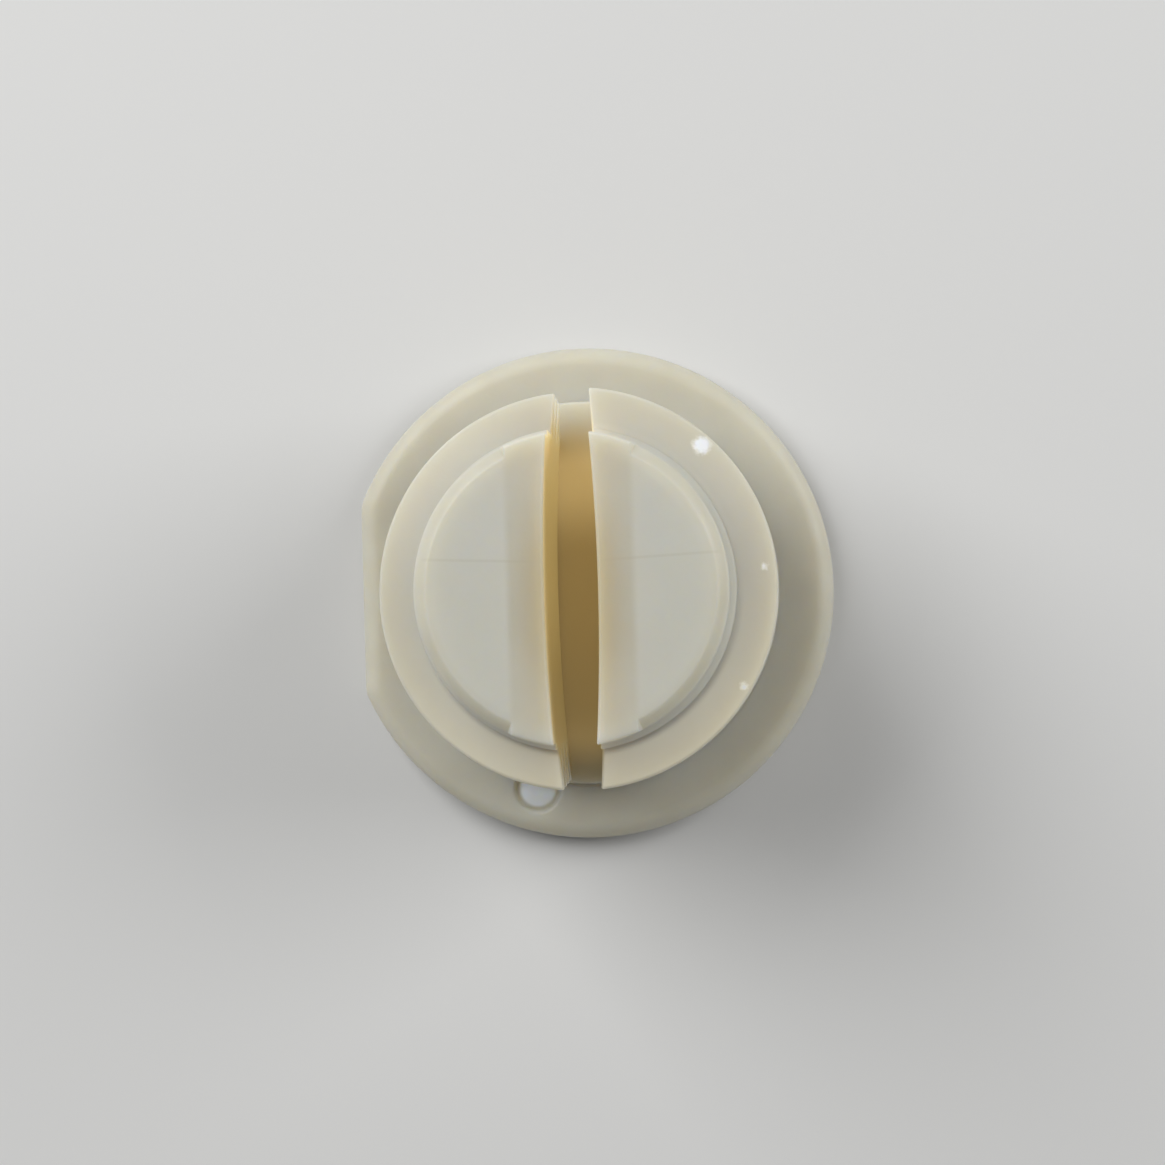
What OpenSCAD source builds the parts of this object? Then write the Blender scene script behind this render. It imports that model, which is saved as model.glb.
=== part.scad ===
// Leveling leg of a washing machine, moulded in one piece from natural nylon.
// A round foot flange with one flat carries a split, coarse-threaded stud.
// Units are millimetres. +Z points up the stud, the foot stands on Z = 0,
// the slot runs along Y and the flat of the flange faces -X.

/* [Foot flange] */
// Diameter of the foot flange
flange_d = 39.2; // [38:0.2:46]
// Thickness of the foot flange
flange_t = 3.2; // [2.6:0.1:6]
// Distance from the axis to the flat of the flange
flat_reach = 18.1; // [17:0.1:19]
// Radius that rounds the upper rim of the flange and of its flat
rim_r = 1.3; // [0.4:0.1:1.8]
// Chamfer round the bottom edge of the foot
foot_chamfer = 0.4; // [0.1:0.1:0.7]

/* [Stud] */
// Length of the stud above the flange
stud_len = 26.8; // [24:0.2:40]
// Diameter of the plain tip of the stud
tip_d = 22.8; // [21.8:0.1:23.2]
// Height of the plain tip above the first crest of the thread
tip_len = 7.5; // [6:0.1:9]
// Height of the taper from the thread root in to the tip
tip_taper_h = 0.9; // [0.4:0.1:1.6]
// Chamfer on the two rounded ends of the tip
tip_chamfer = 0.85; // [0.3:0.05:1.2]
// Diameter of the collar under the thread
collar_d = 30.4; // [30.2:0.1:32]
// Height of the collar above the flange, which is the floor of the slot
collar_h = 1.0; // [0.6:0.1:2]

/* [Thread] */
// Diameter over the thread crests
thread_d = 30; // [28.4:0.1:30.2]
// Diameter of the thread root
root_d = 23.8; // [23.4:0.1:24.6]
// Rise of the right-hand thread in one turn
pitch = 5; // [4.8:0.1:6.5]
// Width of the land on the crest
crest_land = 0.9; // [0.5:0.1:1.1]
// Angle between each flank and the plane square to the axis
flank_angle = 28; // [22:1:29]

/* [Slot] */
// Width of the slot at its middle, on the end face
slot_w = 3.9; // [3:0.1:4.5]
// Width that the slot loses from its middle to the crest of the thread
slot_bow = 1.4; // [0.6:0.1:1.6]
// Inward lean of each wall of the slot, in degrees
slot_lean = 0.8; // [0.4:0.1:1.1]

/* [Hollow cores] */
// Wall left between the slot and a core, measured at the end face
web_t = 2.6; // [2.2:0.1:3.2]
// Wall left between a core and the thread root
core_wall = 1.5; // [1.1:0.1:2]
// Skin left between the cores and the end face
skin_t = 1.8; // [1.4:0.1:3]
// Radius in the corners of a core
core_corner_r = 1; // [0.5:0.1:1.3]

/* [Gate mark] */
// Diameter of the round gate well beside the stud
gate_d = 3.6; // [2.6:0.1:4]
// Depth of the gate well
gate_depth = 0.6; // [0.3:0.1:1.2]
// Distance from the collar out to the middle of the gate well
gate_gap = 0.95; // [0.6:0.05:1.4]
// Direction of the gate well round the axis, in degrees
gate_turn = 254; // [248:1:262]

/* [Hidden] */

// Overlap that lets pieces of the one moulding run into each other
weld = 0.4;
// Room that a cutter has past a face
past = 1;
// Number of flat steps in one turn of the thread
turn_steps = 60;

flange_r = flange_d / 2;
tip_r = tip_d / 2;
collar_r = collar_d / 2;
thread_r = thread_d / 2;
root_r = root_d / 2;
end_z = flange_t + stud_len;
floor_z = flange_t + collar_h;

// Thread: the middle of the ridge starts at top_z beside the slot
thread_depth = thread_r - root_r;
base_half = crest_land / 2 + thread_depth * tan(flank_angle);
buried_half = base_half + weld * tan(flank_angle);
top_z = end_z - tip_len;
turns = (top_z - flange_t) / pitch;
steps = ceil(turns * turn_steps);
start_turn = 90;
shoulder_z = top_z + base_half;

// Slot: each wall is part of a large cylinder that leans inwards
slot_half = slot_w / 2;
bow_half = slot_bow / 2;
wall_r = (thread_r * thread_r + bow_half * bow_half) / (2 * bow_half);

// Cores: a circle cut off by a flat that is parallel to the slot
core_x = slot_half + web_t;
core_r = root_r - core_wall;
core_top = end_z - skin_t;
corner_x = core_x + core_corner_r;
corner_y = sqrt(pow(core_r - core_corner_r, 2) - corner_x * corner_x);
corner_turn = atan2(corner_y, corner_x);

gate_r = gate_d / 2;
gate_reach = collar_r + gate_gap;

// Foot flange with a rounded upper rim and one flat
module flange() {
    difference() {
        rotate_extrude($fn = 180)
            flange_section();
        translate([-flat_reach - flange_r, -flange_r, -past])
            cube([flange_r, flange_d, flange_t + 2 * past]);
        flat_rim();
    }
}

// Half section of the flange: a chamfered foot and a quarter-round rim
module flange_section() {
    polygon([
        [0, 0],
        [flange_r - foot_chamfer, 0],
        [flange_r, foot_chamfer],
        [flange_r, flange_t - rim_r],
        [flange_r - rim_r, flange_t - rim_r],
        [flange_r - rim_r, flange_t],
        [0, flange_t]
    ]);
    translate([flange_r - rim_r, flange_t - rim_r])
        intersection() {
            circle(r = rim_r, $fn = 64);
            square(rim_r);
        }
}

// What the rounding takes off the upper edge of the flat
module flat_rim() {
    translate([-flat_reach, 0, flange_t])
        difference() {
            translate([-past, -flange_r, -rim_r])
                cube([past + rim_r, flange_d, rim_r + past]);
            translate([rim_r, flange_r + past, -rim_r])
                rotate([90, 0, 0])
                    cylinder(r = rim_r, h = flange_d + 2 * past, $fn = 64);
        }
}

// Collar, thread root and plain tip, turned on one axis
module stud_body() {
    translate([0, 0, flange_t - weld])
        cylinder(r = collar_r, h = collar_h + weld, $fn = 180);
    translate([0, 0, flange_t - weld])
        cylinder(r = root_r, h = shoulder_z - flange_t + weld, $fn = 180);
    translate([0, 0, shoulder_z])
        cylinder(r1 = root_r, r2 = tip_r, h = tip_taper_h, $fn = 180);
    translate([0, 0, shoulder_z])
        cylinder(r = tip_r, h = end_z - shoulder_z, $fn = 180);
}

// Four corners of the ridge's section at step i, as points in space
function ridge_ring(i) =
    let (
        turn = start_turn - 360 * i / turn_steps,
        z = top_z - pitch * i / turn_steps,
        section = [
            [root_r - weld, -buried_half],
            [thread_r, -crest_land / 2],
            [thread_r, crest_land / 2],
            [root_r - weld, buried_half]
        ]
    )
    [for (p = section) [p[0] * cos(turn), p[0] * sin(turn), z + p[1]]];

// Helical ridge of the thread, from its start at the slot down to the flange
module thread_ridge() {
    points = [for (i = [0:steps]) each ridge_ring(i)];
    sides = [
        for (i = [0:steps - 1], j = [0:3])
            let (
                a = 4 * i + j,
                b = 4 * i + (j + 1) % 4,
                c = a + 4,
                d = b + 4
            )
            each [[a, d, b], [a, c, d]]
    ];
    last = 4 * steps;
    ends = [
        [1, 2, 3],
        [0, 1, 3],
        [last + 2, last + 1, last],
        [last + 3, last + 2, last]
    ];
    polyhedron(points = points, faces = concat(sides, ends), convexity = 10);
}

// Lens-shaped slot that splits the stud down to the collar
module slot() {
    intersection() {
        slot_wall();
        mirror([1, 0, 0])
            slot_wall();
        translate([-slot_w, -collar_r - past, floor_z])
            cube([2 * slot_w, collar_d + 2 * past, stud_len]);
    }
}

// Large leaning cylinder whose surface is the +X wall of the slot
module slot_wall() {
    translate([slot_half, 0, end_z])
        rotate([0, -slot_lean, 0])
            translate([-wall_r, 0, -2 * stud_len])
                cylinder(r = wall_r, h = 3 * stud_len, $fn = 360);
}

// Chamfer on the end of the tip, on both sides of the webs along the slot
module tip_chamfers() {
    difference() {
        translate([0, 0, end_z - tip_chamfer])
            rotate_extrude($fn = 180)
                polygon([
                    [tip_r, 0],
                    [tip_r + past, 0],
                    [tip_r + past, tip_chamfer + past],
                    [tip_r - tip_chamfer - past, tip_chamfer + past]
                ]);
        translate([-core_x, -tip_d, end_z - tip_d])
            cube([2 * core_x, 2 * tip_d, 2 * tip_d]);
    }
}

// D-shaped core on the +X side, open at the foot
module core() {
    translate([0, 0, -past])
        linear_extrude(core_top + past)
            core_outline();
}

// Circle cut off beside the slot, with its two corners rounded
module core_outline() {
    difference() {
        intersection() {
            circle(r = core_r, $fn = 120);
            translate([core_x, -core_r])
                square([core_r, 2 * core_r]);
        }
        core_corner();
        mirror([0, 1])
            core_corner();
    }
}

// What the rounding takes out of the upper corner of the outline
module core_corner() {
    difference() {
        polygon([
            [core_x - past, corner_y],
            [corner_x, corner_y],
            [(core_r + past) * cos(corner_turn), (core_r + past) * sin(corner_turn)],
            [core_x - past, core_r + past]
        ]);
        translate([corner_x, corner_y])
            circle(r = core_corner_r, $fn = 48);
    }
}

// Round well beside the stud where the moulding was filled
module gate_well() {
    rotate(gate_turn)
        translate([gate_reach, 0, flange_t - gate_depth])
            cylinder(r = gate_r, h = gate_depth + collar_h + weld, $fn = 64);
}

module leveling_leg() {
    color([0.8, 0.79, 0.72])
        difference() {
            union() {
                flange();
                stud_body();
                thread_ridge();
            }
            slot();
            tip_chamfers();
            core();
            mirror([1, 0, 0])
                core();
            gate_well();
        }
}

leveling_leg();
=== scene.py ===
import bmesh
import bpy
import numpy as np
from mathutils import Matrix, Vector


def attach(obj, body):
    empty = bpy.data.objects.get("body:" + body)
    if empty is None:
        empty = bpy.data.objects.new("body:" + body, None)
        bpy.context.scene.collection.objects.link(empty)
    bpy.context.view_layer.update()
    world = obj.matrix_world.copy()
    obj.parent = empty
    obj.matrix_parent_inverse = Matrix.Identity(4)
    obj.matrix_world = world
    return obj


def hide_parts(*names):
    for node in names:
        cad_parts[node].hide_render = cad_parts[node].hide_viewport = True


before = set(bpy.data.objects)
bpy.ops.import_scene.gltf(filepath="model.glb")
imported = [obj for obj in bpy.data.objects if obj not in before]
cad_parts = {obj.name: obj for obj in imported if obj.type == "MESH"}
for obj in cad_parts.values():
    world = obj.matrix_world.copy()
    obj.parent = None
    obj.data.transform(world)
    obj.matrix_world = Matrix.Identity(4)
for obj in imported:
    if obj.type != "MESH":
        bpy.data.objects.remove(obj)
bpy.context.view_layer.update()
mm = 0.001

# Camera: a long lens high above the leg, a little to the right of it and towards
# the lower edge of the picture, so the stud shows its outside on that side.
camera_place = Vector((12.36, -3.34, 275)) * mm
camera_aim = Vector((-0.56, 0.86, 0)) * mm
picture_up = Vector((0.028, 0.9996, 0))

camera_data = bpy.data.cameras.new("view_from_above")
camera_data.lens = 105.4
camera_data.sensor_width = 36
camera_data.clip_start = 0.01
camera_data.clip_end = 20
camera = bpy.data.objects.new("view_from_above", camera_data)
bpy.context.collection.objects.link(camera)
back = (camera_place - camera_aim).normalized()
right = picture_up.cross(back).normalized()
up = back.cross(right)
camera.matrix_world = Matrix.Translation(camera_place) @ Matrix((right, up, back)).transposed().to_4x4()
bpy.context.scene.camera = camera

# Leveling leg: one moulding of natural nylon. A round foot with one flat carries a
# collar and a stud with a coarse right-hand thread. A slot splits the stud, and a
# hollow core runs up inside each half from the underside of the foot.
flange_r = 19.6
flange_t = 3.2
flat_reach = 18.1
rim_r = 1.3
foot_chamfer = 0.4
collar_r = 15.2
floor_z = flange_t + 1.0
end_z = 30.0
tip_r = 11.4
taper_h = 0.9
tip_chamfer = 0.85
thread_r = 15.0
root_r = 11.9
pitch = 5.0
crest_half = 0.45
flank_turn = np.radians(28)
base_half = crest_half + (thread_r - root_r) * np.tan(flank_turn)
first_crest_z = end_z - 7.5
shoulder_z = first_crest_z + base_half
slot_half = 1.95
slot_bow = 0.7
slot_lean = np.radians(0.8)
wall_r = (thread_r**2 + slot_bow**2) / (2 * slot_bow)
core_x = slot_half + 2.6
core_r = root_r - 1.5
core_top = end_z - 1.8
edge_r = 0.16
gate_turn = np.radians(254)
gate_x = (collar_r + 0.95) * np.cos(gate_turn)
gate_y = (collar_r + 0.95) * np.sin(gate_turn)
gate_r = 1.8
gate_depth = 0.6


def wall_x(y, z):
    """The slot's wall in plan is a large circle, and it moves outwards with depth by its lean."""
    return slot_half - wall_r + np.sqrt(wall_r**2 - y**2) + (end_z - z) * np.tan(slot_lean)


def smooth(t):
    """Nothing below 0, all above 1, and an even S between them."""
    t = np.clip(t, 0, 1)
    return t * t * (3 - 2 * t)


def crest_height(angle, side):
    """The first crest sinks by one pitch in one turn, clockwise from the slot's +Y end. The right
    half comes first."""
    turned = (np.pi / 2 - angle) / (2 * np.pi)
    return first_crest_z - pitch * (turned if side > 0 else 1 - turned)


def thread_radius(rise):
    """Radius at a height over the first crest: a trapezoid with soft corners, repeated at each
    pitch downwards."""
    away = np.linspace(-pitch, pitch, 1001)
    sharp = root_r + np.clip((base_half - np.abs(away)) / np.tan(flank_turn), 0, thread_r - root_r)
    soft = np.convolve(np.pad(sharp, 12, mode="edge"), np.full(25, 1 / 25), mode="valid")
    wrapped = np.where(rise > -pitch / 2, rise, (rise + pitch / 2) % pitch - pitch / 2)
    return np.interp(wrapped, away, soft)


def foot_radius(angle, side, inset):
    """A circle, and on the left half the nearer of the circle and the flat, blended over a small
    corner."""
    circle = flange_r - inset + 0 * angle
    if side > 0:
        return circle
    flat = (flat_reach - inset) / np.maximum(np.cos(angle), 0.3)
    blend = 0.04
    nearer = np.minimum(circle, flat)
    return nearer - blend * np.log(np.exp((nearer - circle) / blend) + np.exp((nearer - flat) / blend))


# Columns of the surface: shares of the way round an arc, closer together at its two ends,
# beside the webs and at the gate mark, and then shares of the way back along the wall.
near_end = np.array([0.0008, 0.0018, 0.003, 0.0045])
around = np.concatenate([near_end, np.linspace(0, 1, 151), np.linspace(0.088, 0.108, 15)])
around = np.unique(np.concatenate([around, 1 - around, np.linspace(0.87, 0.95, 24)]))
near_wall_end = np.array([0.0012, 0.0027, 0.0045, 0.007])
along = np.concatenate([near_wall_end, 1 - near_wall_end, np.linspace(0, 1, 31)])
along = np.unique(along)[1:-1]
arc_columns = len(around)


def column(values):
    """A list of steps as a column, so that it makes one row of the surface each."""
    return np.array(values, dtype=float)[:, None]


def loops(arc, inset=0, open_share=1):
    """Closed loops round one half: an arc at the radius and height that arc(angle) gives, and the way
    back along the slot's wall, moved by inset. An open_share of 0 moves that way to the middle plane."""
    tilt = [0.1, 0.1]
    for _ in range(12):
        for k, sign in enumerate((1, -1)):
            angle = sign * (np.pi / 2 - tilt[k])
            radius, z = arc(angle)
            x = open_share * wall_x(radius * np.sin(angle), z) + inset
            tilt[k] = np.arcsin(x / radius)
    angle = np.pi / 2 - tilt[0] + (tilt[0] + tilt[1] - np.pi) * around
    radius, z = arc(angle)
    outside = np.stack(np.broadcast_arrays(radius * np.cos(angle), radius * np.sin(angle), z), axis=-1)
    y, z = (outside[:, -1:, k] + (outside[:, :1, k] - outside[:, -1:, k]) * along for k in (1, 2))
    x = open_share * wall_x(y, z) + inset
    inside = np.stack(np.broadcast_arrays(x, y, z), axis=-1)
    return np.concatenate([outside, inside], axis=1)


def eased_corners(rows, share):
    """The two corners of each loop become short curves, by the share given for each row."""
    for corner in (0, arc_columns - 1):
        near = (corner + np.arange(-4, 5)) % rows.shape[1]
        first, middle, last = (rows[:, near[k]][:, None] for k in (0, 4, 8))
        t = np.linspace(0, 1, 9)[None, :, None]
        curve = (1 - t) ** 2 * first + 2 * t * (1 - t) * middle + t**2 * last
        rows[:, near] += (curve - rows[:, near]) * share
    return rows


def core_loops(grow, z):
    """Loops round a D: the distance from its middle to the arc and to the straight side, joined by a
    power mean that rounds the corners."""
    middle = 7.2
    corner = np.arctan2(np.sqrt(core_r**2 - core_x**2), core_x - middle)
    back = 2 * np.pi - 2 * corner
    turn = np.concatenate([corner - 2 * corner * around, -corner - back * along])
    to_arc = -middle * np.cos(turn) + np.sqrt((core_r + grow) ** 2 - (middle * np.sin(turn)) ** 2)
    to_side = (middle - core_x + grow) / np.maximum(-np.cos(turn), 0.05)
    reach = (to_arc**-36.0 + to_side**-36.0) ** (-1 / 36)
    return np.stack(np.broadcast_arrays(middle + reach * np.cos(turn), reach * np.sin(turn), z), axis=-1)


def half_leg(side):
    """Rows of one half, from the middle of its end face, down the tip and the thread beside the slot,
    over the collar and round the foot, and up the core to the middle of its ceiling. It also gives the
    first and last row whose way back lies in the middle plane, where the other half carries on."""
    quarter = column(np.linspace(0, 1, 7)[1:]) * np.pi / 2

    def edge_size(angle):
        edge = np.clip(core_x / np.maximum(np.cos(angle), 0.1), tip_r - tip_chamfer, tip_r - edge_r)
        return tip_r - edge

    # End face and its edge, a superellipse between a rounding and a chamfer
    turned = column(np.linspace(1, 0, 9)) * np.pi / 2
    inwards = 1 - np.cos(turned) ** 1.6
    downwards = 1 - np.sin(turned) ** 1.6
    rim = loops(
        lambda angle: (tip_r - edge_size(angle) * inwards, end_z - edge_size(angle) * downwards),
        inset=edge_r * inwards,
    )
    middle = np.array([(slot_half + core_x) / 2, 0.0, end_z])
    face = middle + (rim[:1] - middle) * column([0, 0.3, 0.6, 0.85, 0.95, 0.985])[:, None]

    # Plain tip, taper and thread root
    share = column([0.03, 0.25, 0.5, 0.75, 0.97])
    taper_z = shoulder_z + taper_h

    def tip_wall(angle):
        top = end_z - edge_size(angle)
        return tip_r, top + (taper_z - top) * share

    def root_wall(angle):
        z = shoulder_z + (crest_height(angle, side) + base_half - shoulder_z) * share
        return thread_radius(z - crest_height(angle, side)), z

    fall = column([0, 0.1, 0.5, 0.9, 1])
    tip = loops(tip_wall)
    taper = loops(lambda angle: (tip_r + (root_r - tip_r) * fall + 0 * angle, taper_z - taper_h * fall))
    root = loops(root_wall)

    # Thread: rows keep to the ridge as it sinks, down to the top of the collar
    soft = 0.12
    flank = np.linspace(base_half - soft, crest_half + soft, 5)
    ridge = np.concatenate([[base_half + soft, base_half], flank, [crest_half, crest_half - soft]])
    ridge = np.concatenate([ridge, [0], -ridge[::-1], [-pitch / 2]])
    rise = (ridge - pitch * np.arange(5)[:, None]).ravel()
    highest = first_crest_z if side > 0 else first_crest_z - pitch / 2
    rise = column(rise[(rise <= base_half) & (highest + rise > floor_z)])
    least_step = 0.004
    lowest = floor_z + least_step * np.arange(len(rise))[::-1, None]

    def thread_wall(angle):
        crest = crest_height(angle, side)
        z = np.maximum(crest + rise, lowest)
        return thread_radius(z - crest), z

    thread = loops(thread_wall)
    out = column([0, 0.03, 0.2, 0.5, 0.8, 0.97, 1])

    def collar_top(angle):
        start = thread_radius(floor_z - crest_height(angle, side))
        return start + (collar_r - edge_r - start) * out, floor_z

    floor = loops(collar_top, open_share=1 - out)
    stud = eased_corners(np.concatenate([rim, tip, taper, root, thread]), 1)
    floor = eased_corners(floor, (1 - out)[:, None])

    # Collar, and the foot with its rounded rim and its chamfered edge
    top_share = column(np.linspace(0, 1, 19)[1:])
    chamfer = column([0, 0.15, 0.5, 0.85, 1])
    start = collar_r + edge_r
    rising = edge_r * (1 - np.sin(quarter))
    falling = edge_r * (1 - np.cos(quarter))
    collar_share = column([0.9, 0.5, 0.1])
    collar_side = flange_t + edge_r + (floor_z - flange_t - 2 * edge_r) * collar_share
    outside = [
        lambda angle: (collar_r - rising, floor_z - falling),
        lambda angle: (collar_r, collar_side),
        lambda angle: (collar_r + falling, flange_t + rising),
        lambda angle: (start + (foot_radius(angle, side, rim_r) - start) * top_share, flange_t),
        lambda angle: (
            foot_radius(angle, side, rim_r * (1 - np.sin(quarter))),
            flange_t - rim_r * (1 - np.cos(quarter)),
        ),
        lambda angle: (
            foot_radius(angle, side, foot_chamfer * chamfer),
            foot_chamfer * (1 - chamfer),
        ),
    ]
    foot = np.concatenate([loops(shape, open_share=0) for shape in outside])

    # Underside, and the core with a soft mouth and soft corners at its ceiling
    bend = np.concatenate([column([0]), quarter])
    mouth = core_loops(edge_r * (1 - np.sin(bend)), edge_r * (1 - np.cos(bend)))
    under = foot[-1:] + (mouth[:1] - foot[-1:]) * column([0.03, 0.3, 0.6, 0.9, 0.98])[:, None]
    shaft = core_loops(0, edge_r + (core_top - 2 * edge_r) * column([0.25, 0.5, 0.75]))
    ceiling = core_loops(-edge_r * (1 - np.cos(quarter)), core_top - edge_r * (1 - np.sin(quarter)))
    middle = np.array([7.2, 0.0, core_top])
    closing = middle + (ceiling[-1:] - middle) * column([0.97, 0.5, 0])[:, None]

    rows = np.concatenate([face, stud, floor, foot, under, mouth, shaft, ceiling, closing])
    seam_start = len(face) + len(stud) + len(floor) - 1
    return rows * np.array([side, 1, 1]), seam_start, seam_start + len(foot)


def gate_marked(rows, side):
    """The gate mark is a shallow round well, and two torn lobes of the gate stand in it."""
    x, y, z = rows[..., 0] * side - gate_x, rows[..., 1] - gate_y, rows[..., 2]
    inside = 1 - smooth((np.hypot(x, y) - gate_r + 0.15) / 0.3)
    left_lobe = np.exp(-((x + 0.5) ** 2 + (y + 0.5) ** 2) / 0.9)
    right_lobe = np.exp(-((x - 1) ** 2 + (y + 0.6) ** 2) / 0.45)
    bottom = flange_t - gate_depth + 0.35 * np.minimum(left_lobe + right_lobe, 1)
    rows[..., 2] = z + (np.minimum(z, bottom) - z) * inside
    return rows


def half_faces(rows, first_seam, last_seam, side):
    """Four-sided faces between neighbouring rows and columns, with none in the middle plane."""
    number = np.arange(rows.shape[0] * rows.shape[1]).reshape(rows.shape[:2])
    ahead = np.roll(number, -1, axis=1)
    faces = np.stack([number[:-1], ahead[:-1], ahead[1:], number[1:]], axis=-1)
    wanted = np.ones(faces.shape[:2], dtype=bool)
    wanted[first_seam:last_seam, arc_columns - 1:] = False
    faces = faces[wanted]
    return faces if side > 0 else faces[:, ::-1]


points = []
faces = []
for side in (1, -1):
    rows, first_seam, last_seam = half_leg(side)
    rows[first_seam - 6:last_seam] = gate_marked(rows[first_seam - 6:last_seam], 1)
    faces.append(half_faces(rows, first_seam, last_seam, side) + sum(len(p) for p in points))
    points.append(rows.reshape(-1, 3) * mm)

leg_mesh = bpy.data.meshes.new("nylon_leg")
leg_mesh.from_pydata(np.concatenate(points).tolist(), [], np.concatenate(faces).tolist())
joined = bmesh.new()
joined.from_mesh(leg_mesh)
unused = [point for point in joined.verts if not point.link_faces]
bmesh.ops.delete(joined, geom=unused, context="VERTS")
bmesh.ops.remove_doubles(joined, verts=joined.verts, dist=0.001 * mm)
joined.to_mesh(leg_mesh)
joined.free()
leg_mesh.polygons.foreach_set("use_smooth", [True] * len(leg_mesh.polygons))
leg = bpy.data.objects.new("nylon_leg", leg_mesh)
bpy.context.collection.objects.link(leg)
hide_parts("leveling_leg")
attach(leg, "root")

nylon = bpy.data.materials.new("natural_nylon")
nylon.use_nodes = True
tree = nylon.node_tree
shader = tree.nodes["Principled BSDF"]


class Field:
    """A value over the nylon's surface, which can be worked with like a number."""

    def __init__(self, socket):
        self.socket = socket

    @staticmethod
    def make(kind, settings, inputs, output=0):
        """A node of one type: its settings first, then values or links by the place of each socket."""
        node = tree.nodes.new(kind)
        for name, value in settings.items():
            setattr(node, name, value)
        for place, value in inputs.items():
            if isinstance(value, Field):
                tree.links.new(value.socket, node.inputs[place])
            else:
                node.inputs[place].default_value = value
        return Field(node.outputs[output])

    def math(self, operation, *values):
        return Field.make("ShaderNodeMath", {"operation": operation}, dict(enumerate(values)))

    def __add__(self, other):
        return self.math("ADD", self, other)

    def __radd__(self, other):
        return self.math("ADD", other, self)

    def __sub__(self, other):
        return self.math("SUBTRACT", self, other)

    def __rsub__(self, other):
        return self.math("SUBTRACT", other, self)

    def __mul__(self, other):
        return self.math("MULTIPLY", self, other)

    def __rmul__(self, other):
        return self.math("MULTIPLY", other, self)

    def __abs__(self):
        return self.math("ABSOLUTE", self)

    def root(self):
        return self.math("SQRT", self)

    def rise(self, low, high):
        """Nothing below low, all above high, and an even S between them."""
        settings = {"interpolation_type": "SMOOTHSTEP"}
        return Field.make("ShaderNodeMapRange", settings, {0: self, 1: low, 2: high})

    def mixed(self, first, second):
        """The first colour where the field is 0 and the second where it is 1."""
        return Field.make("ShaderNodeMix", {"data_type": "RGBA"}, {0: self, 6: first, 7: second}, 2)

    def tinted(self, colour):
        """The field as the strength of one colour, over black."""
        return self.mixed((0, 0, 0, 1), colour)


object_place = 3
place = Field.make("ShaderNodeTexCoord", {}, {}, object_place)
in_mm = Field.make("ShaderNodeVectorMath", {"operation": "SCALE"}, {0: place, 3: 1 / mm})
x, y, z = (Field.make("ShaderNodeSeparateXYZ", {}, {0: in_mm}, axis) for axis in range(3))
across = abs(x)
radius = (x * x + y * y).root()


def mottle(size, detail):
    """Soft noise from 0 to 1 whose patches are about one size, in millimetres."""
    return Field.make("ShaderNodeTexNoise", {}, {0: in_mm, 2: 1 / size, 3: detail})


broad = mottle(5, 2)
fine = mottle(0.9, 3)
grit = mottle(0.3, 2)

# Where things are: the slot's walls and floor, the end face, its webs and the thin skin over the cores
bow_at_y = (slot_bow / thread_r**2) * (y * y)
past_wall = across - (slot_half - bow_at_y + np.tan(slot_lean) * (end_z - z))
in_slot = (1 - past_wall.rise(0.03, 0.22)) * z.rise(floor_z - 0.15, floor_z) * (1 - z.rise(29.5, 29.95))
deep_in_slot = in_slot * (1 - 0.85 * radius.rise(11, 14.5))
on_end = z.rise(end_z - 0.5, end_z - 0.1)
over_core = across.rise(core_x - 0.35, core_x + 0.35) * (1 - radius.rise(core_r - 0.5, core_r + 0.6))
web_middle = 1 - abs(y + 1).rise(1, 10)
in_web = on_end * (1 - over_core) * (1 - radius.rise(9.6, 11))
near_slot = 1 - past_wall.rise(0, core_x - slot_half)

flank = radius.rise(12, 12.6) * (1 - radius.rise(14.7, 15)) * z.rise(15.5, 17) * (1 - in_slot)

# A faint line across the end face, lighter above it and darker below
line_y = 1.88 + 0.045 * across
above_line = (y - line_y).rise(-0.5, 0.5)
faint_line = on_end * (1 - abs(y - line_y).rise(0.03, 0.16)) * (1 - in_slot)

# Painted highlights: small glints along the outer edge of the first crest, each at its own place and of
# its own radius
crest_glints = 0 * x
for glint_x, glint_y, glint_r in ((9.6, 10.4, 0.8), (14.0, 1.3, 0.3), (12.2, -7.5, 0.35)):
    away = ((x - glint_x) * (x - glint_x) + (y - glint_y) * (y - glint_y)).root() + 0.5 * grit
    crest_glints = crest_glints + (1 - away.rise(0.7 * glint_r, glint_r + 0.35)) * z.rise(17, 18)

# The flank, web and slot colours below are painted shade, the skin colour is painted light, and the
# near-white serves both the torn gate and painted glints.
plain_nylon = (0.612, 0.594, 0.508, 1)
shade_nylon = (0.580, 0.559, 0.470, 1)
flank_shade_nylon = (0.550, 0.532, 0.450, 1)
lit_skin_nylon = (0.632, 0.617, 0.545, 1)
web_shade_nylon = (0.465, 0.43, 0.32, 1)
amber_shade_nylon = (0.54, 0.45, 0.27, 1)
torn_and_glint_nylon = (0.93, 0.93, 0.91, 1)

colour = broad.rise(0.3, 0.75).mixed(plain_nylon, shade_nylon)
colour = (fine.rise(0.45, 0.8) * 0.25).mixed(colour, shade_nylon)
# Painted shade: the thread flank is a little darker all round
colour = (flank * 0.8).mixed(colour, flank_shade_nylon)
# Painted light: the thin skin over each core is lighter, as light comes through it from the hollow
# below, a little more so above the faint line
colour = (on_end * over_core * (0.75 + 0.25 * above_line)).mixed(colour, lit_skin_nylon)
# Painted shade: the webs beside the slot are darker and more amber, as little light comes through the
# solid nylon, most in their middle and next to the slot
colour = (in_web * (0.3 + 0.7 * web_middle) * (0.35 + 0.65 * near_slot)).mixed(colour, web_shade_nylon)
colour = (in_web * web_middle * near_slot * 0.25).mixed(colour, amber_shade_nylon)
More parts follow.
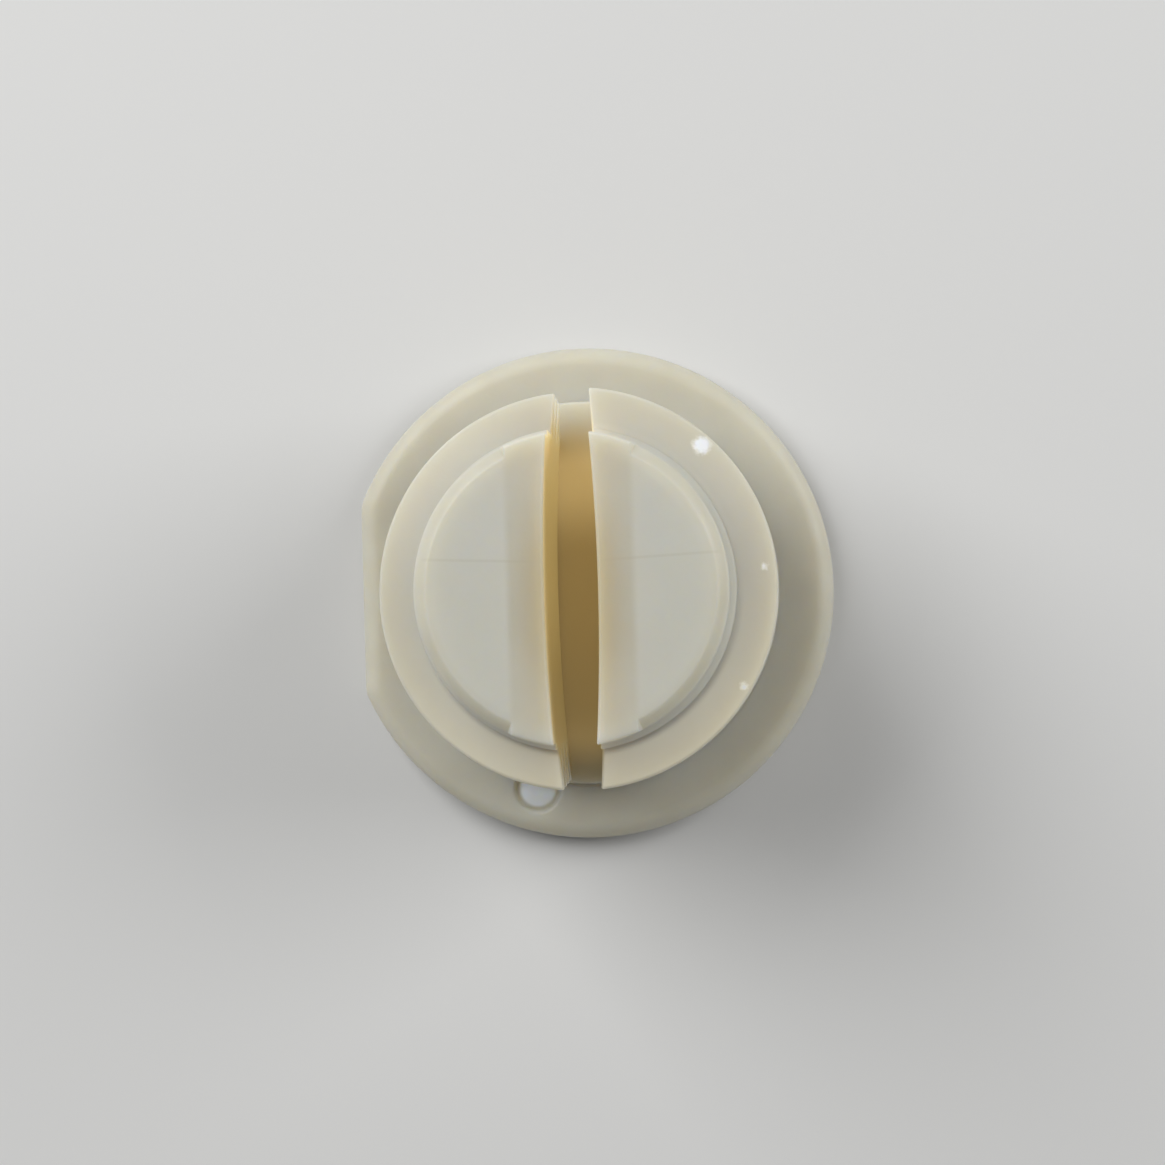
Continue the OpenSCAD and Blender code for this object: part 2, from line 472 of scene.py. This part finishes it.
# Painted shade: deep in the slot the walls and floor are amber-brown, lit only through the nylon, and
# this fades towards the slot's open ends
colour = deep_in_slot.mixed(colour, amber_shade_nylon)
# Darker along the faint line across the end face
colour = (faint_line * 0.22).mixed(colour, web_shade_nylon)
# Painted highlights on the crest, in the same near-white as the torn gate
colour = crest_glints.mixed(colour, torn_and_glint_nylon)
gate_away = ((x - gate_x) * (x - gate_x) + (y - gate_y) * (y - gate_y)).root()
torn_gate = (1 - gate_away.rise(1.25, 1.6)) * (1 - z.rise(flange_t - 0.05, flange_t + 0.1))
colour = (torn_gate * 0.9).mixed(colour, torn_and_glint_nylon)

# Light that comes through the nylon: amber in the slot, and pale on the flank away from the main lamp
above_floor = z.rise(floor_z + 0.02, floor_z + 0.3)
wall_glow = deep_in_slot * above_floor * (0.5 + 0.3 * y.rise(-8, 0) + 0.2 * y.rise(4, 9))
glow_along_floor = 0.45 - 0.15 * y.rise(-13, -9) + 0.55 * y.rise(3, 9) - 0.35 * y.rise(10, 12)
floor_glow = deep_in_slot * (1 - above_floor) * glow_along_floor
away_from_lamp = (0.013 * x - 0.07 * y).rise(-0.3, 1)
glow = Field.make("ShaderNodeVectorMath", {"operation": "ADD"}, {
    0: wall_glow.tinted((0.187, 0.145, 0.058, 1)),
    1: floor_glow.tinted((0.333, 0.240, 0.100, 1)),
})
glow = Field.make("ShaderNodeVectorMath", {"operation": "ADD"}, {
    0: glow,
    1: (flank * away_from_lamp).tinted((0.200, 0.189, 0.148, 1)),
})

rough = 0.40 + 0.12 * fine + 0.08 * grit
grain = Field.make("ShaderNodeBump", {}, {0: 0.35, 1: 0.02 * mm, 3: grit + 0.8 * fine})
finish = {"Base Color": colour, "Roughness": rough, "Emission Color": glow, "Normal": grain}
for name, value in finish.items():
    tree.links.new(value.socket, shader.inputs[name])
shader.inputs["Emission Strength"].default_value = 1.0
nylon.cycles.emission_sampling = "NONE"
shader.inputs["Subsurface Weight"].default_value = 1.0
shader.inputs["Subsurface Radius"].default_value = (1.0, 0.8, 0.5)
shader.inputs["Subsurface Scale"].default_value = 5.0 * mm
leg_mesh.materials.append(nylon)

# Floor: plain pale board under the foot, wide enough to fill the view from any side.
floor_mesh = bpy.data.meshes.new("floor")
floor_half = 3.0
corners = [(-1, -1), (1, -1), (1, 1), (-1, 1)]
floor_mesh.from_pydata([(x * floor_half, y * floor_half, 0) for x, y in corners], [], [(0, 1, 2, 3)])
board = bpy.data.materials.new("pale_board")
board.use_nodes = True
board.node_tree.nodes["Principled BSDF"].inputs["Base Color"].default_value = (0.72, 0.72, 0.71, 1)
board.node_tree.nodes["Principled BSDF"].inputs["Roughness"].default_value = 0.8
floor_mesh.materials.append(board)
floor_sheet = bpy.data.objects.new("floor", floor_mesh)
bpy.context.collection.objects.link(floor_sheet)

# Light: a large soft lamp from the upper left, a weaker one from the right, and a dim even room.
def soft_lamp(name, azimuth, elevation, watts, size):
    """A square lamp half a metre away that faces the leg."""
    data = bpy.data.lights.new(name, "AREA")
    data.energy = watts
    data.size = size
    azimuth, elevation = np.radians((azimuth, elevation))
    level = np.cos(elevation)
    way = Vector((np.cos(azimuth) * level, np.sin(azimuth) * level, np.sin(elevation)))
    lamp = bpy.data.objects.new(name, data)
    lamp.location = way * 0.5
    lamp.rotation_euler = way.to_track_quat("Z", "Y").to_euler()
    bpy.context.collection.objects.link(lamp)


soft_lamp("left_lamp", 140, 43, 1.95, 0.35)
soft_lamp("right_lamp", 20, 35, 1.2, 0.3)

world = bpy.data.worlds.new("room")
bpy.context.scene.world = world
world.use_nodes = True
world.node_tree.nodes["Background"].inputs["Color"].default_value = (1, 1, 1, 1)
world.node_tree.nodes["Background"].inputs["Strength"].default_value = 0.15
bpy.context.scene.view_settings.view_transform = "Standard"
